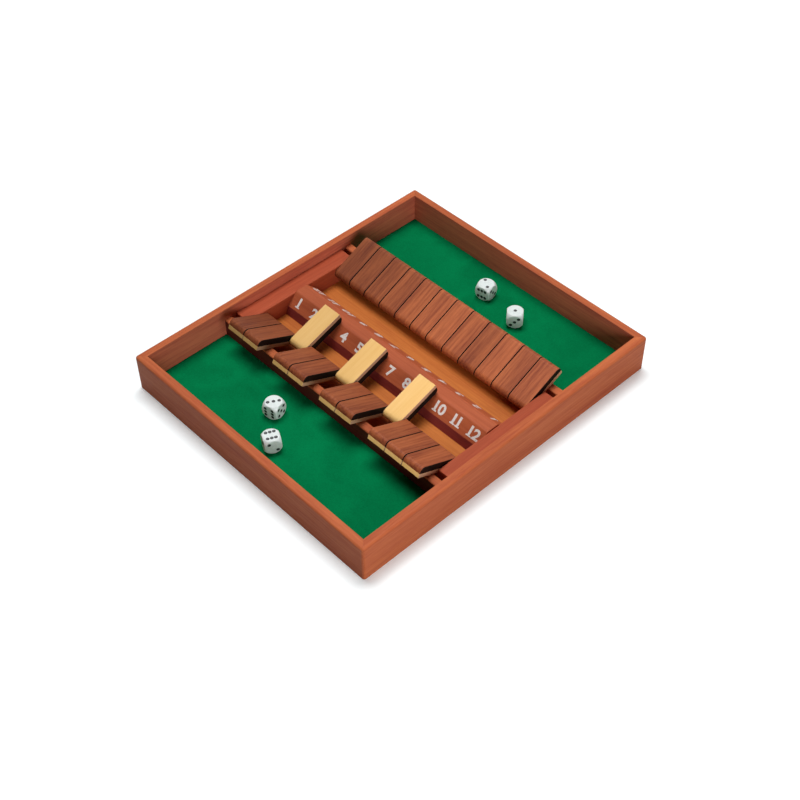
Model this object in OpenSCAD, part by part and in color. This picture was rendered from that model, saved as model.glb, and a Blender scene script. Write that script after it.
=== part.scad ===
// Shut the box for two rows of players: an open wooden box with a felt dice
// tray on each side and two rows of twelve hinged number tiles between them.
// Millimetres, +Z up. X runs along the rows, -Y is the near tray.
// Origin: centre of the box, on the plane that it stands on.

/* [Box] */
// Outside width, along the rows of tiles
box_w = 290; // [280:1:310]
// Outside depth, across both trays
box_d = 334; // [310:1:400]
// Height of the walls
box_h = 37.4; // [34:0.2:60]
// Thickness of the walls
wall_t = 8; // [6:0.5:10]
// Rounding of the rim's edges
rim_round = 1; // [0.4:0.1:1.8]

/* [Floor] */
// Thickness of the floor panel
floor_t = 5; // [3:0.2:6]
// Height of the panel's underside above the table
floor_lift = 3.4; // [2:0.2:5]
// How far the panel goes into each wall
groove_depth = 4; // [2:0.2:5]
// Play between the panel and its groove, on each face
groove_play = 0.1; // [0.05:0.05:0.3]
// Thickness of the felt in the trays
felt_t = 1; // [0.6:0.1:2]
// Gap between the felt's edge and the wood around it
felt_gap = 0.3; // [0.2:0.1:1]

/* [Tiles] */
// Tiles in each row
tile_count = 12; // [9:1:12]
// Width of a tile
tile_w = 19.5; // [16:0.1:20]
// Gap between neighbouring tiles
tile_gap = 0.56; // [0.4:0.02:0.8]
// Length of a tile from the rod's axis to its free end
tile_reach = 42.3; // [40.5:0.1:43]
// Thickness of a tile over both plies
tile_t = 10; // [8:0.2:11]
// Thickness of the dark ply
dark_ply = 6.2; // [4.2:0.1:6.3]
// Rounding of the dark ply's free end
nose_round = 4.2; // [1:0.1:4.2]
// Glue line between glued pieces of wood
glue_line = 0.1; // [0.05:0.01:0.15]
// Near tiles that are turned over, by number
shut_near = [3, 6, 9];
// Far tiles that are turned over, by number
shut_far = [];

/* [Rods] */
// Diameter of the rods
rod_d = 3; // [2:0.1:4]
// Running clearance around a rod, on the radius
rod_play = 0.05; // [0.02:0.01:0.1]
// Distance of each rod from the middle of the box
rod_y = 44.7; // [43.6:0.1:46]
// Height of the rods' axes above the table
rod_z = 19.8; // [19:0.1:21]

/* [Cheeks and rails] */
// Length of a cheek, across both rows
cheek_len = 126; // [110:1:131]
// Height of the cheeks' tops above the table
cheek_top = 26.7; // [25:0.1:30]
// Rounding of the cheeks' top edges
cheek_round = 0.8; // [0.3:0.1:1.5]
// Distance of each rail's inner face from the middle of the box
rail_y = 68; // [66:0.5:72]
// Thickness of a rail
rail_t = 8; // [6:0.5:10]
// Height of the rails' tops above the table
rail_top = 25.8; // [24:0.1:27]
// Rounding of a rail's top edges, where the open tiles lean
rail_round = 1.5; // [0.8:0.1:2.5]

/* [Number block] */
// Height of the block's top above the table
block_top = 28; // [27:0.1:30]
// Width of the flat on the block's top
block_flat = 9.8; // [8:0.1:12]
// Rounding between the flat and the number faces
block_round = 3; // [2:0.1:4]
// Slope of the number faces
face_slope = 45; // [40:1:50]
// Width of the block where the number faces end
block_shoulder = 34.4; // [30:0.2:36]
// Width of the block at its foot
block_foot = 40; // [36:0.5:44]

/* [Dice] */
// Edge of a die
die_size = 15; // [14:0.5:17]
// Radius of the ball that rounds a die's corners
die_ball = 10.4; // [9.5:0.1:12]
// Diameter of a pip
pip_d = 3.1; // [2:0.1:3.1]
// Depth of a pip
pip_depth = 0.5; // [0.3:0.1:0.8]
// Distance of the outer pips from the middle of a face
pip_pitch = 3.5; // [3.2:0.1:4]
// Middle of the die at the near tray's back, from the box's middle
die_near_a = [-31.2, -108.3];
// Middle of the die at the near tray's front
die_near_b = [-3.3, -134.5];
// Middle of the far tray's left die
die_far_a = [-10.3, 128];
// Middle of the far tray's right die
die_far_b = [33.2, 120.2];

/* [Hidden] */
$fn = 64;
// Air between a resting piece and what it rests on
rest_gap = 0.05;
// Overshoot of a cut past the faces that it goes through
cut = 1;
// Turn of each die: about X, then Y, then its yaw about Z
turn_near_a = [0, -90, -75.3];
turn_near_b = [180, 0, -115.5];
turn_far_a = [-90, 0, 10.6];
turn_far_b = [0, 0, -49.6];

near = -1;
far = 1;
left = -1;
right = 1;

in_w = box_w - 2 * wall_t;
in_d = box_d - 2 * wall_t;
floor_top = floor_lift + floor_t;
felt_top = floor_top + felt_t;
pitch = tile_w + tile_gap;
row_len = tile_count * pitch;
cheek_t = (in_w - row_len) / 2;
rail_outer = rail_y + rail_t;

// Slope of a tile that lies on a round edge: the edge's centre is run along
// and rise above the rod's axis, and the tile's face is half a tile away
function slope(run, rise, r) =
    atan2(rise, run) + asin((tile_t / 2 + r + rest_gap) / norm([run, rise]));

open_slope = slope(rail_y + rail_round - rod_y, rail_top - rail_round - rod_z, rail_round);
shut_slope = slope(rod_y - block_flat / 2, block_top - block_round - rod_z, block_round);

// ---- shared shapes ----

// A board's cross-section, standing on X with both top corners rounded
module round_top(w, h, r) {
    square([w, h - r]);
    translate([r, 0]) square([w - 2 * r, h]);
    translate([r, h - r]) circle(r);
    translate([w - r, h - r]) circle(r);
}

// A cross-section in Y and Z, drawn out along X about the middle
module along_x(length) {
    rotate([90, 0, 90]) linear_extrude(length, center = true) children();
}

// ---- box ----

// One wall, with its outer face on X and its ends mitred
module wall(length) {
    inset = glue_line / 2;
    intersection() {
        along_x(length) difference() {
            round_top(wall_t, box_h, rim_round);
            translate([wall_t - groove_depth, floor_lift - groove_play])
                square([groove_depth + cut, floor_t + 2 * groove_play]);
        }
        linear_extrude(box_h) polygon([
            [-length / 2 + inset, 0], [length / 2 - inset, 0],
            [length / 2 - wall_t - inset, wall_t], [-length / 2 + wall_t + inset, wall_t]]);
    }
}

module wall_near() { color("sienna") translate([0, -box_d / 2, 0]) wall(box_w); }
module wall_far() { color("sienna") rotate(180) translate([0, -box_d / 2, 0]) wall(box_w); }
module wall_left() { color("sienna") rotate(-90) translate([0, -box_w / 2, 0]) wall(box_d); }
module wall_right() { color("sienna") rotate(90) translate([0, -box_w / 2, 0]) wall(box_d); }

// Plywood floor, held in the walls' grooves
module base_panel() {
    w = in_w + 2 * (groove_depth - groove_play);
    d = in_d + 2 * (groove_depth - groove_play);
    color("peru") translate([-w / 2, -d / 2, floor_lift]) cube([w, d, floor_t]);
}

// Felt sheet, glued to the floor between a rail and its wall
module felt(side) {
    w = in_w - 2 * felt_gap;
    d = in_d / 2 - rail_outer - 2 * felt_gap;
    color("seagreen") translate([0, side * (rail_outer + felt_gap + d / 2), floor_top + felt_t / 2])
        cube([w, d, felt_t], center = true);
}

// ---- middle section ----

// Rail that the open tiles lean on, from wall to wall
module rail(side) {
    color("brown") translate([0, side * (rail_y + rail_t / 2), floor_top])
        along_x(in_w) translate([-rail_t / 2, 0]) round_top(rail_t, rail_top - floor_top, rail_round);
}

// Cheek that both rods run through, up to the wall behind it
module cheek(side) {
    color("firebrick") difference() {
        translate([side * (row_len + cheek_t) / 2, 0, floor_top])
            rotate([90, 0, 0]) linear_extrude(cheek_len, center = true)
                translate([-cheek_t / 2, 0]) round_top(cheek_t, cheek_top - floor_top, cheek_round);
        for (y = [-rod_y, rod_y])
            translate([side * (row_len + cheek_t) / 2, y, rod_z]) rotate([0, 90, 0])
                cylinder(h = cheek_t + 2 * cut, r = rod_d / 2 + rod_play, center = true);
    }
}

// Block between the rows: a flat top, a sloping face for each row's numbers
// and a steep plinth below them
module number_block() {
    edge = [block_flat / 2, block_top - block_round];
    touch = edge + block_round * [sin(face_slope), cos(face_slope)];
    shoulder = [block_shoulder / 2, touch.y - (block_shoulder / 2 - touch.x) * tan(face_slope)];
    half = [[block_foot / 2, floor_top], shoulder, touch, [edge.x, block_top]];
    color("indianred") along_x(row_len) {
        polygon(concat(half, [for (i = [3:-1:0]) [-half[i].x, half[i].y]]));
        for (s = [-1, 1])
            translate([s * edge.x, edge.y]) circle(block_round);
    }
}

// Steel rod through one row of tiles and both cheeks, trapped by the walls
module rod(side) {
    color("silver") translate([0, side * rod_y, rod_z]) rotate([0, 90, 0])
        cylinder(h = in_w - 2 * rest_gap, r = rod_d / 2, center = true);
}

// ---- tiles ----

// A tile's outline, its rod at the origin and its dark ply up
module tile_outline() {
    half = tile_t / 2;
    circle(half);
    translate([0, -half]) square([tile_reach - nose_round, tile_t]);
    translate([0, -half]) square([tile_reach, tile_t - nose_round]);
    translate([tile_reach - nose_round, half - nose_round]) circle(nose_round);
}

// The part of the outline between two heights, drawn out to a tile's width
module ply(low, high) {
    along_x(tile_w) difference() {
        intersection() {
            tile_outline();
            translate([-tile_t, low]) square([tile_reach + 2 * tile_t, high - low]);
        }
        circle(rod_d / 2 + rod_play);
    }
}

// Two glued plies, turned on the rod to lean on a rail or on the block. Each
// row is numbered from its own player's left.
module tile(side, number, shut) {
    seam = tile_t / 2 - dark_ply;
    turned = len(search(number, shut)) > 0;
    tilt = turned ? 180 - shut_slope : open_slope;
    translate([-side * (number - (tile_count + 1) / 2) * pitch, side * rod_y, rod_z])
        mirror([0, side == near ? 1 : 0, 0]) rotate([tilt, 0, 0]) {
            color("saddlebrown") ply(seam + glue_line / 2, tile_t / 2);
            color("moccasin") ply(-tile_t / 2, seam - glue_line / 2);
        }
}

// ---- dice ----

// Pips of one face, by their places in units of the pip pitch
function pips(n) =
    n == 1 ? [[0, 0]] :
    n == 2 ? [[-1, 1], [1, -1]] :
    n == 3 ? [[-1, -1], [0, 0], [1, 1]] :
    n == 4 ? [[-1, -1], [-1, 1], [1, -1], [1, 1]] :
    n == 5 ? [[-1, -1], [-1, 1], [0, 0], [1, -1], [1, 1]] :
             [[-1, -1], [-1, 1], [0, -1], [0, 1], [1, -1], [1, 1]];

// Each face's number, and the turn that carries the top to it
faces = [[1, [0, 0, 0]], [2, [90, 0, 0]], [3, [90, 0, 90]],
         [4, [90, 0, -90]], [5, [90, 0, 180]], [6, [180, 0, 0]]];

module die(place, turn) {
    pip_ball = (pip_d * pip_d / 4 + pip_depth * pip_depth) / (2 * pip_depth);
    color("white") translate([place.x, place.y, felt_top + rest_gap + die_size / 2]) rotate(turn)
        difference() {
            intersection() {
                cube(die_size, center = true);
                sphere(die_ball);
            }
            for (f = faces) rotate(f[1]) for (p = pips(f[0]))
                translate([p.x * pip_pitch, p.y * pip_pitch, die_size / 2 - pip_depth + pip_ball])
                    sphere(pip_ball);
        }
}

// ---- nodes ----

wall_near();
wall_far();
wall_left();
wall_right();
base_panel();
felt(near);  // felt_near
felt(far);  // felt_far
rail(near);  // rail_near
rail(far);  // rail_far
cheek(left);  // cheek_left
cheek(right);  // cheek_right
number_block();
rod(near);  // rod_near
rod(far);  // rod_far
for (i = [1:tile_count]) {
    tile(near, i, shut_near);
    tile(far, i, shut_far);
}
die(die_near_a, turn_near_a);  // die_near_back
die(die_near_b, turn_near_b);  // die_near_front
die(die_far_a, turn_far_a);  // die_far_left
die(die_far_b, turn_far_b);  // die_far_right
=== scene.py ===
import math

import bmesh
import bpy
from mathutils import Matrix, Vector, noise


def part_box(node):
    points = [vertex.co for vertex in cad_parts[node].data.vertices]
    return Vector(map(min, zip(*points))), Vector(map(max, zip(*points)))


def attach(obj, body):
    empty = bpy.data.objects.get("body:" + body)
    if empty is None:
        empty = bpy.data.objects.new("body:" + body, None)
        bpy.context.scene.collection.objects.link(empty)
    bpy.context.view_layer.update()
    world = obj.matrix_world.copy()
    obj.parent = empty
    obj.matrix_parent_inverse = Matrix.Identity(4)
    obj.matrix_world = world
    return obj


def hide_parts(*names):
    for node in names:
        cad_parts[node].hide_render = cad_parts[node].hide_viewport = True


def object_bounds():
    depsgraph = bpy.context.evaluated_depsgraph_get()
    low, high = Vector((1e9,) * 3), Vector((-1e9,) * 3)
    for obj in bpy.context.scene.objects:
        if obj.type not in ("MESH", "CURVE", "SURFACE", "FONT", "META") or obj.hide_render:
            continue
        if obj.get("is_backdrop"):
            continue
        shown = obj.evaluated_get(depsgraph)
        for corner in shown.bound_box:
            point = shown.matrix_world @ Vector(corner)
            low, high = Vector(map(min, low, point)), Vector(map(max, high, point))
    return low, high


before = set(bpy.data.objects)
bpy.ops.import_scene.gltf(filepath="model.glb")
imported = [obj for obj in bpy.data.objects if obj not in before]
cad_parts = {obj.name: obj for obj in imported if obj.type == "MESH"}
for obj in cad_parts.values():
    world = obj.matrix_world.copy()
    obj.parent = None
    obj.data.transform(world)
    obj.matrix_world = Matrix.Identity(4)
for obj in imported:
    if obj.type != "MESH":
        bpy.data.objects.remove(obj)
cad_low, cad_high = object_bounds()

# ---- The four walls ----
# Boards of solid wood 8 mm thick, stained reddish orange and lacquered, with the
# rim's edges rounded over. They are mitred and glued at the corners, and a groove
# along the foot of each board holds the floor.

box_wide = cad_high.x - cad_low.x
box_deep = cad_high.y - cad_low.y
wall_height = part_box("wall_near")[1].z
wall_thick = 0.008
outer_round = 0.0024
rim_round = 0.001
foot_round = 0.0004
groove_deep = 0.004
groove_play = 0.0001
half_glue_line = 0.00005
tolerance = 1e-6
cut_tolerance = 1e-7
squarely = 0.9


def new_material(name):
    """A fresh material, with its nodes, its links and its shader."""
    material = bpy.data.materials.new(name)
    material.use_nodes = True
    nodes, links = material.node_tree.nodes, material.node_tree.links
    return material, nodes, links, nodes["Principled BSDF"]


def mixed(nodes, links, first, second, share):
    """A mix of two values, where share is the second one's part."""
    mix = nodes.new("ShaderNodeMix")
    mix.inputs["Factor"].default_value = share
    links.new(first, mix.inputs["A"])
    links.new(second, mix.inputs["B"])
    return mix.outputs["Result"]


def multiplied(nodes, links, first, second):
    """The product of two values."""
    product = nodes.new("ShaderNodeMath")
    product.operation = "MULTIPLY"
    links.new(first, product.inputs[0])
    links.new(second, product.inputs[1])
    return product.outputs[0]


def ranged(nodes, links, value, to_low, to_high, from_low=0, from_high=1):
    """A value carried from one range over to another."""
    carried = nodes.new("ShaderNodeMapRange")
    carried.inputs["From Min"].default_value = from_low
    carried.inputs["From Max"].default_value = from_high
    carried.inputs["To Min"].default_value = to_low
    carried.inputs["To Max"].default_value = to_high
    links.new(value, carried.inputs["Value"])
    return carried.outputs["Result"]


def graded(nodes, links, value, dark, light, dark_until, light_from):
    """A colour that goes from dark to light as the value rises."""
    ramp = nodes.new("ShaderNodeValToRGB")
    low_end, high_end = ramp.color_ramp.elements
    low_end.position, low_end.color = dark_until, (*dark, 1)
    high_end.position, high_end.color = light_from, (*light, 1)
    links.new(value, ramp.inputs["Fac"])
    return ramp.outputs["Color"]


def roughened(nodes, links, shader, height, strength, distance):
    """Give the shader a fine relief."""
    relief = nodes.new("ShaderNodeBump")
    relief.inputs["Strength"].default_value = strength
    relief.inputs["Distance"].default_value = distance
    links.new(height, relief.inputs["Height"])
    links.new(relief.outputs["Normal"], shader.inputs["Normal"])


def stained_wood(name, light, dark, streaks=0.5, gloss=0.1):
    """Stained and lacquered wood, its figure stretched along the grain."""
    material, nodes, links, shader = new_material(name)
    shader.inputs["Specular IOR Level"].default_value = gloss
    board = nodes.new("ShaderNodeAttribute")
    board.attribute_name = "grain"
    # The tone attribute scales the colour. On the tiles it carries painted light as well as the
    # wood's random tone.
    stain_and_painted_light = nodes.new("ShaderNodeAttribute")
    stain_and_painted_light.attribute_name = "stain_and_painted_light"

    def figure(along, across, detail, distortion=0.0):
        stretch = nodes.new("ShaderNodeVectorMath")
        stretch.operation = "MULTIPLY"
        stretch.inputs[1].default_value = (along, across, across)
        links.new(board.outputs["Vector"], stretch.inputs[0])
        pattern = nodes.new("ShaderNodeTexNoise")
        pattern.inputs["Scale"].default_value = 1
        pattern.inputs["Detail"].default_value = detail
        pattern.inputs["Distortion"].default_value = distortion
        links.new(stretch.outputs[0], pattern.inputs["Vector"])
        return pattern.outputs["Fac"]

    broad = figure(along=5, across=60, detail=3, distortion=0.6)
    fine = figure(along=22, across=480, detail=4, distortion=0.3)
    pores = figure(along=140, across=2600, detail=2)
    patches = figure(along=2.4, across=7, detail=1)
    streaked = mixed(nodes, links, broad, fine, share=streaks)
    grained = mixed(nodes, links, streaked, pores, share=0.22)
    colour = graded(nodes, links, grained, dark, light, dark_until=0.36, light_from=0.62)
    cloudy = ranged(nodes, links, patches, to_low=0.86, to_high=1.1, from_low=0.3, from_high=0.7)
    shade = nodes.new("ShaderNodeHueSaturation")
    links.new(colour, shade.inputs["Color"])
    links.new(multiplied(nodes, links, cloudy, stain_and_painted_light.outputs["Fac"]), shade.inputs["Value"])
    links.new(shade.outputs["Color"], shader.inputs["Base Color"])
    satin = ranged(nodes, links, fine, to_low=0.57, to_high=0.37)
    links.new(satin, shader.inputs["Roughness"])
    pored = mixed(nodes, links, fine, pores, share=0.6)
    roughened(nodes, links, shader, pored, strength=0.35, distance=0.0001)
    return material


def drawn_out(section, length):
    """A closed section in Y and Z, drawn out along X about the middle."""
    bm = bmesh.new()
    face = bm.faces.new([bm.verts.new((-length / 2, y, z)) for y, z in section])
    grown = bmesh.ops.extrude_face_region(bm, geom=[face])["geom"]
    far_end = [g for g in grown if isinstance(g, bmesh.types.BMVert)]
    bmesh.ops.translate(bm, vec=(length, 0, 0), verts=far_end)
    bmesh.ops.recalc_face_normals(bm, faces=bm.faces)
    return bm


def round_edges(bm, chosen, radius, segments):
    """Round the edges whose two ends, a and b, pass a test."""
    edges = [e for e in bm.edges if chosen(e.verts[0].co, e.verts[1].co)]
    bmesh.ops.bevel(bm, geom=edges, offset=radius, segments=segments, affect="EDGES",
                    profile=0.5, material=-1, clamp_overlap=True)


def saw(bm, point, away):
    """Cut off what lies beyond a plane, and close the cut."""
    everything = bm.verts[:] + bm.edges[:] + bm.faces[:]
    cut = bmesh.ops.bisect_plane(bm, geom=everything, dist=cut_tolerance, plane_co=point,
                                 plane_no=away, clear_outer=True)["geom_cut"]
    cut_edges = [g for g in cut if isinstance(g, bmesh.types.BMEdge)]
    bmesh.ops.holes_fill(bm, edges=cut_edges, sides=0)


def in_scene(bm, name):
    """Put a shape into the scene as an object at the origin."""
    mesh = bpy.data.meshes.new(name)
    bm.to_mesh(mesh)
    bm.free()
    made = bpy.data.objects.new(name, mesh)
    bpy.context.scene.collection.objects.link(made)
    return made


def finished(bm, name, materials, place=None, board=0, tone=1.0):
    """Finish a piece, with smooth rounds. Its grain runs along X before it is placed, and each
    board number has a figure of its own. The tone lightens or darkens the colour; on the
    tiles it also carries painted light."""
    grain = bm.verts.layers.float_vector.new("grain")
    stain_and_painted_light = bm.verts.layers.float.new("stain_and_painted_light")
    to_board = place.inverted() if place else Matrix()
    figure_step = Vector((1.13, 0.71, 0.37))
    crease = math.radians(35)
    for v in bm.verts:
        v[grain] = to_board @ v.co + figure_step * board
        v[stain_and_painted_light] = tone
    for face in bm.faces:
        face.smooth = True
    piece = in_scene(bm, name)
    piece.data.set_sharp_from_angle(angle=crease)
    for material in materials:
        piece.data.materials.append(material)
    piece.modifiers.new("even shading", "WEIGHTED_NORMAL").keep_sharp = True
    return piece


rim_wood = stained_wood("stained rim wood", (0.547, 0.15, 0.055), (0.376, 0.078, 0.033),
                        gloss=0.06)
# Painted light: the walls' inner faces take a lighter copy of the rim's colour, which stands in
# for the light on them.
inner_wood_painted_light = stained_wood("inner wood with painted light", (0.657, 0.181, 0.097), (0.438, 0.094, 0.057))

floor_low, floor_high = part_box("base_panel")
groove_bottom = floor_low.z - groove_play
groove_top = floor_high.z + groove_play
wall_section = [(0, 0), (wall_thick, 0), (wall_thick, groove_bottom),
                (wall_thick - groove_deep, groove_bottom), (wall_thick - groove_deep, groove_top),
                (wall_thick, groove_top), (wall_thick, wall_height), (0, wall_height)]


def on_rim(a, b):
    """Along or across the board's top."""
    return min(a.z, b.z) > wall_height - tolerance


def on_outer_edge(a, b):
    """The rim's outer edge, its two ends and the outer corners below them."""
    outside = max(a.y, b.y) < tolerance
    if on_rim(a, b):
        return outside or a.x == b.x
    return a.x == b.x and outside and abs(a.z - b.z) > wall_thick


def on_inner_edge(a, b):
    """The rim's inner edge, from end to end."""
    return on_rim(a, b) and abs(a.x - b.x) > box_wide / 2 and min(a.y, b.y) > wall_thick / 2


def on_foot(a, b):
    """The outer edge and the two ends of the foot."""
    return max(a.z, b.z) < tolerance and (max(a.y, b.y) < outer_round + tolerance or a.x == b.x)


wall_places = [("near", 0, box_wide, cad_low.y, 1), ("right", 90, box_deep, cad_low.x, 1),
               ("far", 180, box_wide, cad_low.y, 0.9), ("left", 270, box_deep, cad_low.x, 1)]
for board, (side, turn, length, outer_face, tone) in enumerate(wall_places):
    bm = drawn_out(wall_section, length)
    round_edges(bm, on_outer_edge, outer_round, segments=6)
    round_edges(bm, on_inner_edge, rim_round, segments=4)
    round_edges(bm, on_foot, foot_round, segments=2)
    bm.normal_update()
    for face in bm.faces:
        # The inner faces take the lighter copy, painted light.
        face.material_index = 1 if face.normal.y > squarely else 0
    for way in (-1, 1):
        saw(bm, (way * (length / 2 - half_glue_line), 0, 0), (way, 1, 0))
    place = Matrix.Rotation(math.radians(turn), 4, "Z") @ Matrix.Translation((0, outer_face, 0))
    bmesh.ops.transform(bm, matrix=place, verts=bm.verts)
    wall = finished(bm, f"wall_board_{side}", [rim_wood, inner_wood_painted_light], place, board, tone)
    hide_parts(f"wall_{side}")
    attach(wall, "root")

# ---- The floor ----
# A panel of 5 mm plywood, stained orange on its upper face and left bare below.
# It slides into the grooves of the walls before the last corner is glued.

floor_ease = 0.0003
floor_board = 5
upwards = 0.5
floor_wood = stained_wood("stained floor veneer", (0.505, 0.154, 0.03), (0.367, 0.089, 0.017))
bare_ply = stained_wood("bare plywood", (0.594, 0.405, 0.225), (0.45, 0.288, 0.153))


def boxed(low, high):
    """A plain block between two corners."""
    bm = bmesh.new()
    bmesh.ops.create_cube(bm, size=1)
    bmesh.ops.scale(bm, vec=high - low, verts=bm.verts)
    bmesh.ops.translate(bm, vec=(low + high) / 2, verts=bm.verts)
    return bm


bm = boxed(floor_low, floor_high)
round_edges(bm, lambda a, b: True, floor_ease, segments=2)
bm.normal_update()
for face in bm.faces:
    face.material_index = 0 if face.normal.z > upwards else 1
floor_panel = finished(bm, "floor_panel", [floor_wood, bare_ply], board=floor_board)
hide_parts("base_panel")
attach(floor_panel, "root")

# ---- The felt ----
# Two sheets of green wool felt, one for each dice tray, cut a hair smaller than
# the tray with a knife and glued flat to the floor.

felt_cell = 0.0022
felt_lump = 0.00005
felt_wander = 0.00012
felt_edge_round = 0.0003
felt_border = 3 * felt_wander
side_waver = 90
end_waver = 130
lump_waver = 420


def speckled(nodes, links, scale, detail, distortion=0.0):
    """An even noise through the whole piece."""
    where = nodes.new("ShaderNodeTexCoord")
    pattern = nodes.new("ShaderNodeTexNoise")
    pattern.inputs["Scale"].default_value = scale
    pattern.inputs["Detail"].default_value = detail
    pattern.inputs["Distortion"].default_value = distortion
    links.new(where.outputs["Object"], pattern.inputs["Vector"])
    return pattern.outputs["Fac"]


felt_green, nodes, links, shader = new_material("green wool felt")
shader.inputs["Roughness"].default_value = 0.95
shader.inputs["Specular IOR Level"].default_value = 0.02
shader.inputs["Sheen Weight"].default_value = 0.04
shader.inputs["Sheen Roughness"].default_value = 0.5
shader.inputs["Sheen Tint"].default_value = (0.02, 0.75, 0.35, 1)
clouds, tufts, fibres = (speckled(nodes, links, scale, detail, distortion=0.8)
                         for scale, detail in ((28, 3), (900, 4), (3800, 2)))
shades = mixed(nodes, links, clouds, tufts, share=0.5)
colour = graded(nodes, links, shades, (0.0004, 0.127, 0.041), (0.0006, 0.184, 0.06),
                dark_until=0.35, light_from=0.65)
links.new(colour, shader.inputs["Base Color"])
nap = mixed(nodes, links, tufts, fibres, share=0.5)
roughened(nodes, links, shader, nap, strength=0.6, distance=0.0003)


def on_upper_rim(a, b, size):
    """The edges round the upper face of a sheet of this size."""
    if min(a.z, b.z) < size.z / 2:
        return False
    widest, deepest = size.x / 2 - felt_border, size.y / 2 - felt_border
    return min(abs(a.x), abs(b.x)) > widest or min(abs(a.y), abs(b.y)) > deepest


for side in ("near", "far"):
    low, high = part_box(f"felt_{side}")
    size = high - low
    bm = bmesh.new()
    bmesh.ops.create_grid(bm, x_segments=round(size.x / felt_cell),
                          y_segments=round(size.y / felt_cell), size=0.5)
    bmesh.ops.scale(bm, vec=(size.x, size.y, 1), verts=bm.verts)
    knife_line = [v for v in bm.verts if v.is_boundary]
    for v in knife_line:
        v.co.x -= math.copysign(felt_wander, v.co.x) * (1 + noise.noise(v.co * side_waver))
        v.co.y -= math.copysign(felt_wander, v.co.y) * (1 + noise.noise(v.co * end_waver))
    grown = bmesh.ops.extrude_face_region(bm, geom=bm.faces[:])["geom"]
    upper = [g for g in grown if isinstance(g, bmesh.types.BMVert)]
    for v in upper:
        v.co.z = size.z - felt_lump * (1 + noise.noise(v.co * lump_waver))
    round_edges(bm, lambda a, b: on_upper_rim(a, b, size), felt_edge_round, segments=2)
    bmesh.ops.recalc_face_normals(bm, faces=bm.faces)
    middle = (low + high) / 2
    bmesh.ops.translate(bm, vec=(middle.x, middle.y, low.z), verts=bm.verts)
    for face in bm.faces:
        face.smooth = True
    felt = in_scene(bm, f"felt_sheet_{side}")
    felt.data.materials.append(felt_green)
    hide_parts(f"felt_{side}")
    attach(felt, "root")

# ---- The rails ----
# Two strips of the rim's wood that run from wall to wall along the felt, glued to
# the floor. Their outer sides are coloured a deep, dark red, which is painted shade
# from the tile ends that overhang them. The open tiles lean on them, so
# their top edges are well rounded.

rail_round = 0.0015
# Painted shade: the dark red of the outer sides stands in for the shadow under the tile ends.
rail_side_painted_shade = stained_wood("rail side with painted shade", (0.17, 0.03, 0.022), (0.11, 0.018, 0.014))
for side, board in (("near", 7), ("far", 8)):
    low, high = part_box(f"rail_{side}")
    bm = boxed(low, high)
    round_edges(bm, lambda a, b: a.y == b.y and min(a.z, b.z) > high.z - tolerance,
                rail_round, segments=5)
    outward = math.copysign(1, low.y)
    bm.normal_update()
    for face in bm.faces:
        face.material_index = 1 if face.normal.y * outward > squarely else 0
    rail = finished(bm, f"rail_strip_{side}", [rim_wood, rail_side_painted_shade], board=board)
    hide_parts(f"rail_{side}")
    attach(rail, "root")

# ---- The rods ----
# Two drawn steel rods 3 mm thick. Each runs through a row of tiles and through
# both cheeks, and the side walls keep it from sliding out.

rod_steel, nodes, links, shader = new_material("drawn steel")
shader.inputs["Metallic"].default_value = 1
shader.inputs["Base Color"].default_value = (0.62, 0.62, 0.64, 1)
where = nodes.new("ShaderNodeTexCoord")
stretch = nodes.new("ShaderNodeMapping")
stretch.inputs["Scale"].default_value = (30, 6000, 6000)
links.new(where.outputs["Object"], stretch.inputs["Vector"])
scratches = nodes.new("ShaderNodeTexNoise")
scratches.inputs["Scale"].default_value = 1
scratches.inputs["Detail"].default_value = 3
links.new(stretch.outputs["Vector"], scratches.inputs["Vector"])
dulled = ranged(nodes, links, scratches.outputs["Fac"], to_low=0.22, to_high=0.42)
links.new(dulled, shader.inputs["Roughness"])
for side in ("near", "far"):
    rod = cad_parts[f"rod_{side}"]
    rod.data.materials.clear()
    rod.data.materials.append(rod_steel)

# ---- The cheeks ----
# Two thick blocks, one against each side wall, stained a deeper red than the rim.
# Both rods run through them in drilled holes, and they are glued to the floor.

hole_radius = 0.00155
cheek_round = 0.0008
quarter_turn = Matrix.Rotation(math.radians(90), 4, "Z")
cheek_wood = stained_wood("stained cheek wood", (0.427, 0.084, 0.034), (0.32, 0.056, 0.023))
rod_low, rod_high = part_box("rod_far")
rod_y = (rod_low.y + rod_high.y) / 2
rod_z = (rod_low.z + rod_high.z) / 2


def carve(body, tool, operation):
    """Shape a body with a tool."""
    cut = body.modifiers.new(tool.name, "BOOLEAN")
    cut.object = tool
    cut.operation = operation
    cut.solver = "EXACT"


def drilled(bm, holes, length):
    """The shape with a hole along X at each (y, z)."""
    body = in_scene(bm, "shape")
    bits = bmesh.new()
    for y, z in holes:
        bmesh.ops.create_cone(bits, cap_ends=True, segments=32, radius1=hole_radius,
                              radius2=hole_radius, depth=length,
                              matrix=Matrix.Translation((0, y, z))
                              @ Matrix.Rotation(math.radians(90), 4, "Y"))
    drill = in_scene(bits, "drill")
    carve(body, drill, "DIFFERENCE")
    made = body.evaluated_get(bpy.context.evaluated_depsgraph_get()).to_mesh()
    bm = bmesh.new()
    bm.from_mesh(made)
    bpy.data.objects.remove(body)
    bpy.data.objects.remove(drill)
    return bm


for side, board in (("left", 11), ("right", 12)):
    low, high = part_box(f"cheek_{side}")
    bm = boxed(low, high)
    round_edges(bm, lambda a, b: min(a.z, b.z) > high.z - tolerance,
                cheek_round, segments=4)
    bm = drilled(bm, [(-rod_y, rod_z), (rod_y, rod_z)], box_wide)
    cheek = finished(bm, f"cheek_block_{side}", [cheek_wood], quarter_turn, board)
    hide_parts(f"cheek_{side}")
    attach(cheek, "root")

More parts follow.
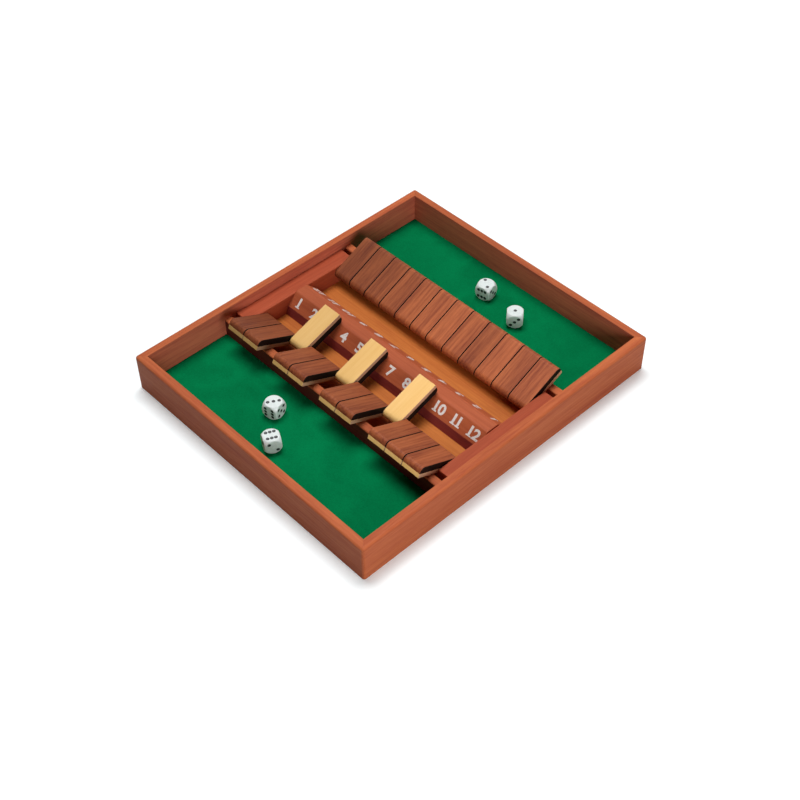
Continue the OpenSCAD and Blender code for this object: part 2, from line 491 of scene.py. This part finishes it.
# ---- The number block ----
# One long moulding between the two rows, glued to the floor and to the cheeks.
# It has a flat top that turned tiles lie on, a sloping face for each row's
# numbers and a steep plinth below in a darker wine red, which is partly its own
# colour and partly painted shade on the steep face.

block_low, block_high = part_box("number_block")
face_slope = math.radians(45)
block_flat = 0.0098
block_round = 0.003
block_shoulder = 0.0344
shoulder_ease = 0.0004
end_ease = 0.0002
block_board = 14
endways = 0.5
block_wood = stained_wood("stained block wood", (0.404, 0.098, 0.039), (0.303, 0.065, 0.026))
plinth_colour_and_shade = stained_wood("plinth colour and painted shade", (0.27, 0.047, 0.04), (0.175, 0.027, 0.027))

crown = block_round * math.tan(face_slope / 2)
apex = block_flat / 2 + crown
shoulder_z = block_high.z - (block_shoulder / 2 - apex) * math.tan(face_slope)
half_section = [(block_high.y, block_low.z), (block_shoulder / 2, shoulder_z),
                (apex, block_high.z)]
block_section = half_section + [(-y, z) for y, z in reversed(half_section)]
bm = drawn_out(block_section, block_high.x - block_low.x)
round_edges(bm, lambda a, b: a.y == b.y and min(a.z, b.z) > block_high.z - tolerance,
            crown, segments=6)
round_edges(bm, lambda a, b: a.y == b.y and abs(a.z - shoulder_z) < tolerance,
            shoulder_ease, segments=2)
round_edges(bm, lambda a, b: a.x == b.x and min(a.z, b.z) > block_low.z + tolerance,
            end_ease, segments=2)
bm.normal_update()
# Below the shoulder the faces take the darker plinth colour, which is partly painted shade.
for face in bm.faces:
    on_end = abs(face.normal.x) >= endways
    below = face.calc_center_median().z < shoulder_z
    face.material_index = 1 if below and not on_end else 0
block = finished(bm, "number_moulding", [block_wood, plinth_colour_and_shade], board=block_board)
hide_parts("number_block")
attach(block, "root")

# ---- The numbers ----
# The numbers 1 to 12 on both sloping faces, printed in white paint through a
# stencil, each opposite its tile and upright for the player on its side.

tile_count = 12
number_height = 0.0098
letter_widening = 1.1
stroke_gain = 0.032
glyph_gap = 0.0007
serif_long = 0.0013
serif_high = 0.0012
paint_thick = 0.00006
paint_sunk = 0.00004

number_paint, nodes, links, shader = new_material("white number paint")
shader.inputs["Roughness"].default_value = 0.5
worn = speckled(nodes, links, scale=700, detail=3)
colour = graded(nodes, links, worn, (0.54, 0.45, 0.41), (0.76, 0.69, 0.65),
                dark_until=0.3, light_from=0.5)
links.new(colour, shader.inputs["Base Color"])


def add_serifs(bm):
    """Draw the foot of the 1 out to both sides of its stem."""
    serif_top = serif_high - number_height / 2
    bmesh.ops.bisect_plane(bm, geom=bm.verts[:] + bm.edges[:] + bm.faces[:], dist=cut_tolerance,
                           plane_co=(0, serif_top, 0), plane_no=(0, 1, 0))
    stem_sides = [e for e in bm.edges if e.is_boundary
                  and abs(e.verts[0].co.x - e.verts[1].co.x) < cut_tolerance
                  and max(v.co.y for v in e.verts) < serif_top + cut_tolerance]
    stem_middle = sum(e.verts[0].co.x for e in stem_sides) / len(stem_sides)
    for edge in stem_sides:
        outwards = math.copysign(serif_long, edge.verts[0].co.x - stem_middle)
        grown = bmesh.ops.extrude_edge_only(bm, edges=[edge])["geom"]
        serif_end = [g for g in grown if isinstance(g, bmesh.types.BMVert)]
        bmesh.ops.translate(bm, vec=(outwards, 0, 0), verts=serif_end)
    bmesh.ops.translate(bm, vec=(-min(v.co.x for v in bm.verts), 0, 0), verts=bm.verts)


def glyph(character):
    """One bold character of the numbers' height, flat, with its left edge on Y."""
    letters = bpy.data.curves.new("letters", "FONT")
    letters.body = character
    letters.offset = stroke_gain
    written = bpy.data.objects.new("letters", letters)
    bpy.context.scene.collection.objects.link(written)
    outline = written.evaluated_get(bpy.context.evaluated_depsgraph_get()).to_mesh()
    bm = bmesh.new()
    bm.from_mesh(outline)
    bpy.data.objects.remove(written)
    straight = math.radians(1)
    bmesh.ops.dissolve_limit(bm, angle_limit=straight, verts=bm.verts, edges=bm.edges)
    left = min(v.co.x for v in bm.verts)
    foot = min(v.co.y for v in bm.verts)
    head = max(v.co.y for v in bm.verts)
    scale = number_height / (head - foot)
    bmesh.ops.translate(bm, vec=(-left, -(head + foot) / 2, 0), verts=bm.verts)
    bmesh.ops.scale(bm, vec=(scale * letter_widening, scale, 1), verts=bm.verts)
    if character == "1":
        add_serifs(bm)
    return bm


low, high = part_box("tile_near_1")
first_x = (low.x + high.x) / 2
pitch = -2 * first_x / (tile_count - 1)
face_middle = Vector((0, -(apex + block_shoulder / 2) / 2, (block_high.z + shoulder_z) / 2))
lift_to_face = Matrix.Rotation(face_slope, 4, "X")
for side, turn in (("near", 0), ("far", 180)):
    bm = bmesh.new()
    for number in range(1, tile_count + 1):
        written = bmesh.new()
        pen = 0
        for character in str(number):
            shape = glyph(character)
            reach = max(v.co.x for v in shape.verts)
            bmesh.ops.translate(shape, vec=(pen, 0, 0), verts=shape.verts)
            pen += reach + glyph_gap
            stencil = bpy.data.meshes.new("stencil")
            shape.to_mesh(stencil)
            shape.free()
            written.from_mesh(stencil)
        grown = bmesh.ops.extrude_face_region(written, geom=written.faces[:])["geom"]
        upper = [g for g in grown if isinstance(g, bmesh.types.BMVert)]
        bmesh.ops.translate(written, vec=(0, 0, paint_thick + paint_sunk), verts=upper)
        bmesh.ops.recalc_face_normals(written, faces=written.faces)
        beside_tile = Vector((first_x + (number - 1) * pitch, 0, 0))
        place = (Matrix.Rotation(math.radians(turn), 4, "Z")
                 @ Matrix.Translation(face_middle + beside_tile) @ lift_to_face
                 @ Matrix.Translation((-(pen - glyph_gap) / 2, 0, -paint_sunk)))
        bmesh.ops.transform(written, matrix=place, verts=written.verts)
        painted = bpy.data.meshes.new("number")
        written.to_mesh(painted)
        written.free()
        bm.from_mesh(painted)
    numbers = finished(bm, f"numbers_{side}", [number_paint])
    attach(numbers, "root")

# ---- The tiles ----
# Each tile is two plies glued face to face: a dark stained one above, with its
# free end rounded over, and a pale maple one below. The end that turns is
# rounded around a drilled hole. The dark ply's long sides are stained nearly black,
# and the maple's long sides are a darker brown, which is painted shade.

tile_wide = 0.0195
tile_thick = 0.01
tile_reach = 0.0423
dark_ply = 0.0062
nose_round = 0.0042
edge_ease = 0.0003
open_tilt = math.radians(25.34683)
shut_tilt = math.radians(180 - 19.01324)
shut_tiles = {"near": (3, 6, 9), "far": ()}
sideways = 0.35
sharp_corner = math.radians(40)
clear_of_bore = hole_radius * 1.01

row_facing = {"near": 180, "far": 0}
row_board = {"near": 20, "far": 40}
# Painted light: each row's tone stands in for how the light falls on the tiles. The near row is
# darker than the far row, and each row gets lighter towards the right. Only the scatter is the
# wood's own random tone.
row_painted_light = {"near": 0.89, "far": 1.1}
painted_light_rise = {"near": 1.35, "far": 2.6}
tone_scatter = 0.07
scatter_step = 7
scatter_row = 900

dark_top = stained_wood("stained tile top", (0.415, 0.116, 0.041), (0.17, 0.037, 0.017))
dark_side = stained_wood("blackened tile side", (0.011, 0.006, 0.005), (0.005, 0.004, 0.003),
                         gloss=0.08)
pale_maple = stained_wood("pale maple", (0.917, 0.58, 0.222), (0.859, 0.505, 0.161),
                          streaks=0.6)
# Painted shade: the maple's long sides take a darker, browner copy of its face colour.
maple_side_painted_shade = stained_wood("maple side with painted shade", (0.653, 0.376, 0.228), (0.428, 0.251, 0.148),
                         streaks=0.6)


def across_free_end(a, b):
    """The free end's upper edge, from side to side."""
    return a.y == b.y and a.z == b.z and a.y > half_thick and a.z > 0


def across_turning_end(a, b):
    """The turning end's two edges, from side to side."""
    return a.y == b.y and a.z == b.z and a.y < 0


half_thick = tile_thick / 2
turning_round = half_thick * 0.9995
seam = half_thick - dark_ply
whole = drawn_out([(-half_thick, -half_thick), (tile_reach, -half_thick),
                   (tile_reach, half_thick), (-half_thick, half_thick)], tile_wide)
round_edges(whole, across_free_end, nose_round, segments=10)
round_edges(whole, across_turning_end, turning_round, segments=12)
whole = drilled(whole, [(0, 0)], 2 * tile_wide)
one_tile = bpy.data.meshes.new("one tile")
glued = bmesh.new()
for way, first_material in ((1, 0), (-1, 2)):
    ply = whole.copy()
    saw(ply, (0, 0, seam + way * half_glue_line), (0, 0, -way))
    outer_edges = [e for e in ply.edges if e.calc_face_angle(0) > sharp_corner
                   and max(v.co.yz.length for v in e.verts) > clear_of_bore]
    bmesh.ops.bevel(ply, geom=outer_edges, offset=edge_ease, segments=2, affect="EDGES",
                    profile=0.5, material=-1)
    ply.normal_update()
    for face in ply.faces:
        # Long sides take the side colour: black stain on the dark ply, painted shade on the maple.
        face.material_index = first_material + (abs(face.normal.x) > sideways)
    ply.to_mesh(one_tile)
    ply.free()
    glued.from_mesh(one_tile)
whole.free()
glued.to_mesh(one_tile)
glued.free()

for side in ("near", "far"):
    for number in range(1, tile_count + 1):
        node = f"tile_{side}_{number}"
        low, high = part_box(node)
        tilt = shut_tilt if number in shut_tiles[side] else open_tilt
        hinge = Vector(((low.x + high.x) / 2, -rod_y if side == "near" else rod_y, rod_z))
        place = (Matrix.Translation(hinge)
                 @ Matrix.Rotation(math.radians(row_facing[side]), 4, "Z")
                 @ Matrix.Rotation(tilt, 4, "X"))
        bm = bmesh.new()
        bm.from_mesh(one_tile)
        bmesh.ops.transform(bm, matrix=place, verts=bm.verts)
        # The tone is painted light along and between the rows, plus a random scatter of the wood's
        # tone.
        tone = (row_painted_light[side] + painted_light_rise[side] * hinge.x
                + tone_scatter * math.sin(scatter_step * number + scatter_row * hinge.y))
        tile = finished(bm, f"{node}_wood", [dark_top, dark_side, pale_maple, maple_side_painted_shade],
                        place @ quarter_turn, row_board[side] + number, tone)
        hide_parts(node)
        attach(tile, node)

# ---- The dice ----
# Four white plastic dice, two for each tray, with ball-rounded corners and
# shallow drilled pips filled with black paint. They lie loose on the felt.

die_size = 0.015
die_ball = 0.0104
within_ball = 0.985 * die_ball
pip_wide = 0.0031
pip_deep = 0.0005
pip_pitch = 0.0035
pip_ball = (pip_wide ** 2 / 4 + pip_deep ** 2) / (2 * pip_deep)
pip_centre = die_size / 2 - pip_deep + pip_ball
pips = {1: [(0, 0)], 2: [(-1, 1), (1, -1)], 3: [(-1, -1), (0, 0), (1, 1)],
        4: [(-1, -1), (-1, 1), (1, -1), (1, 1)],
        5: [(-1, -1), (-1, 1), (0, 0), (1, -1), (1, 1)],
        6: [(-1, -1), (-1, 1), (0, -1), (0, 1), (1, -1), (1, 1)]}
face_turns = {1: (0, 0, 0), 2: (90, 0, 0), 3: (90, 0, 90),
              4: (90, 0, -90), 5: (90, 0, 180), 6: (180, 0, 0)}
dice = {"die_near_back": ((-0.0312, -0.1083), (0, -90, -75.3)),
        "die_near_front": ((-0.0033, -0.1345), (180, 0, -115.5)),
        "die_far_left": ((-0.0103, 0.128), (-90, 0, 10.6)),
        "die_far_right": ((0.0332, 0.1202), (0, 0, -49.6))}


def turned(angles):
    """A turn about X, then about Y, then about Z, in degrees."""
    x, y, z = (math.radians(a) for a in angles)
    return Matrix.Rotation(z, 4, "Z") @ Matrix.Rotation(y, 4, "Y") @ Matrix.Rotation(x, 4, "X")


def gloss_plastic(name, colour, roughness):
    """Moulded plastic or paint with faint handling marks in its gloss."""
    material, nodes, links, shader = new_material(name)
    shader.inputs["Base Color"].default_value = (*colour, 1)
    marks = speckled(nodes, links, scale=260, detail=5)
    dulled = ranged(nodes, links, marks, to_low=roughness, to_high=roughness + 0.15,
                    from_low=0.35, from_high=0.7)
    links.new(dulled, shader.inputs["Roughness"])
    return material


die_white = gloss_plastic("white die plastic", (0.68, 0.73, 0.72), 0.22)
milky = die_white.node_tree.nodes["Principled BSDF"]
milky.inputs["Subsurface Weight"].default_value = 0.6
milky.inputs["Subsurface Radius"].default_value = (1, 1, 1)
milky.inputs["Subsurface Scale"].default_value = 0.004
pip_black = gloss_plastic("black pip paint", (0.012, 0.012, 0.014), 0.35)

bm = bmesh.new()
bmesh.ops.create_cube(bm, size=die_size)
cube = in_scene(bm, "cube")
bm = bmesh.new()
bmesh.ops.create_uvsphere(bm, u_segments=96, v_segments=64, radius=die_ball)
ball = in_scene(bm, "ball")
bm = bmesh.new()
for count, spots in pips.items():
    for across, up in spots:
        spot = turned(face_turns[count]) @ Matrix.Translation(
            (across * pip_pitch, up * pip_pitch, pip_centre))
        bmesh.ops.create_uvsphere(bm, u_segments=40, v_segments=40, radius=pip_ball, matrix=spot)
pip_cutters = in_scene(bm, "pips")
carve(cube, ball, "INTERSECT")
carve(cube, pip_cutters, "DIFFERENCE")
carved = cube.evaluated_get(bpy.context.evaluated_depsgraph_get())
one_die = bpy.data.meshes.new_from_object(carved)
for used in (cube, ball, pip_cutters):
    bpy.data.objects.remove(used)

for node, (spot, turn) in dice.items():
    low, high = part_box(node)
    bm = bmesh.new()
    bm.from_mesh(one_die)
    for face in bm.faces:
        centre = face.calc_center_median()
        off_the_flats = max(abs(c) for c in centre) < die_size / 2 - tolerance
        off_the_ball = centre.length < within_ball
        face.material_index = 1 if off_the_flats and off_the_ball else 0
    place = Matrix.Translation((*spot, (low.z + high.z) / 2)) @ turned(turn)
    bmesh.ops.transform(bm, matrix=place, verts=bm.verts)
    die = finished(bm, f"{node}_cube", [die_white, pip_black])
    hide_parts(node)
    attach(die, node)

# ---- The studio ----
# A white table that runs out of sight, a broad soft lamp overhead and a little to
# the left, a smaller one low on the right, and the camera at the near right.


def shown_directly(nodes, links):
    """1 where the studio is seen by the camera or in a reflection, 0 where it only gives light."""
    path = nodes.new("ShaderNodeLightPath")
    shown = path.outputs["Is Camera Ray"]
    for other in ("Is Glossy Ray", "Is Transmission Ray"):
        either = nodes.new("ShaderNodeMath")
        either.operation = "MAXIMUM"
        links.new(shown, either.inputs[0])
        links.new(path.outputs[other], either.inputs[1])
        shown = either.outputs[0]
    return shown


table_white, nodes, links, _ = new_material("white table")
nodes.clear()
shown = shown_directly(nodes, links)
paint = nodes.new("ShaderNodeMix")
paint.data_type = "RGBA"
lit_colour, seen_colour, paint_colour = paint.inputs[6], paint.inputs[7], paint.outputs[2]
lit_colour.default_value = (0.4, 0.4, 0.4, 1)
seen_colour.default_value = (0.9, 0.95, 0.96, 1)
links.new(shown, paint.inputs["Factor"])
matt = nodes.new("ShaderNodeBsdfDiffuse")
links.new(paint_colour, matt.inputs["Color"])
where = nodes.new("ShaderNodeTexCoord")
distance = nodes.new("ShaderNodeVectorMath")
distance.operation = "LENGTH"
links.new(where.outputs["Object"], distance.inputs[0])
fade = ranged(nodes, links, distance.outputs["Value"], to_low=0.13, to_high=1,
              from_low=0.25, from_high=1.2)
glow = nodes.new("ShaderNodeEmission")
links.new(multiplied(nodes, links, shown, fade), glow.inputs["Strength"])
lifted = nodes.new("ShaderNodeAddShader")
links.new(matt.outputs[0], lifted.inputs[0])
links.new(glow.outputs[0], lifted.inputs[1])
out = nodes.new("ShaderNodeOutputMaterial")
links.new(lifted.outputs[0], out.inputs["Surface"])
bm = bmesh.new()
bmesh.ops.create_grid(bm, x_segments=1, y_segments=1, size=6)
table = in_scene(bm, "table")
table.data.materials.append(table_white)
table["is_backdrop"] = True

world = bpy.data.worlds.new("studio")
bpy.context.scene.world = world
world.use_nodes = True
nodes, links = world.node_tree.nodes, world.node_tree.links
nodes.clear()
fill = nodes.new("ShaderNodeBackground")
fill.inputs["Strength"].default_value = 0.015
backdrop = nodes.new("ShaderNodeBackground")
backdrop.inputs["Color"].default_value = (1, 1, 1, 1)
choice = nodes.new("ShaderNodeMixShader")
links.new(shown_directly(nodes, links), choice.inputs[0])
links.new(fill.outputs[0], choice.inputs[1])
links.new(backdrop.outputs[0], choice.inputs[2])
out = nodes.new("ShaderNodeOutputWorld")
links.new(choice.outputs[0], out.inputs["Surface"])

for name, spot, size, power in (("overhead lamp", (-0.68, 0.45, 2.95), (2.1, 1.3), 103),
                                ("side lamp", (0.82, -0.3, 0.29), (0.45, 0.4), 4.5)):
    lamp = bpy.data.lights.new(name, "AREA")
    lamp.shape = "RECTANGLE"
    lamp.size, lamp.size_y = size
    lamp.energy = power
    holder = bpy.data.objects.new(name, lamp)
    holder.location = spot
    holder.rotation_euler = (-Vector(spot)).to_track_quat("-Z", "Y").to_euler()
    holder.visible_camera = False
    bpy.context.scene.collection.objects.link(holder)

lens = bpy.data.cameras.new("camera")
lens.lens = 61.7716
lens.sensor_width = 36
camera = bpy.data.objects.new("camera", lens)
camera.location = (0.624726, -0.574863, 0.861139)
camera.rotation_euler = [math.radians(a) for a in (43.626843, 0.467428, 46.474555)]
bpy.context.scene.collection.objects.link(camera)
bpy.context.scene.camera = camera
bpy.context.scene.view_settings.view_transform = "Standard"

low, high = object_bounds()
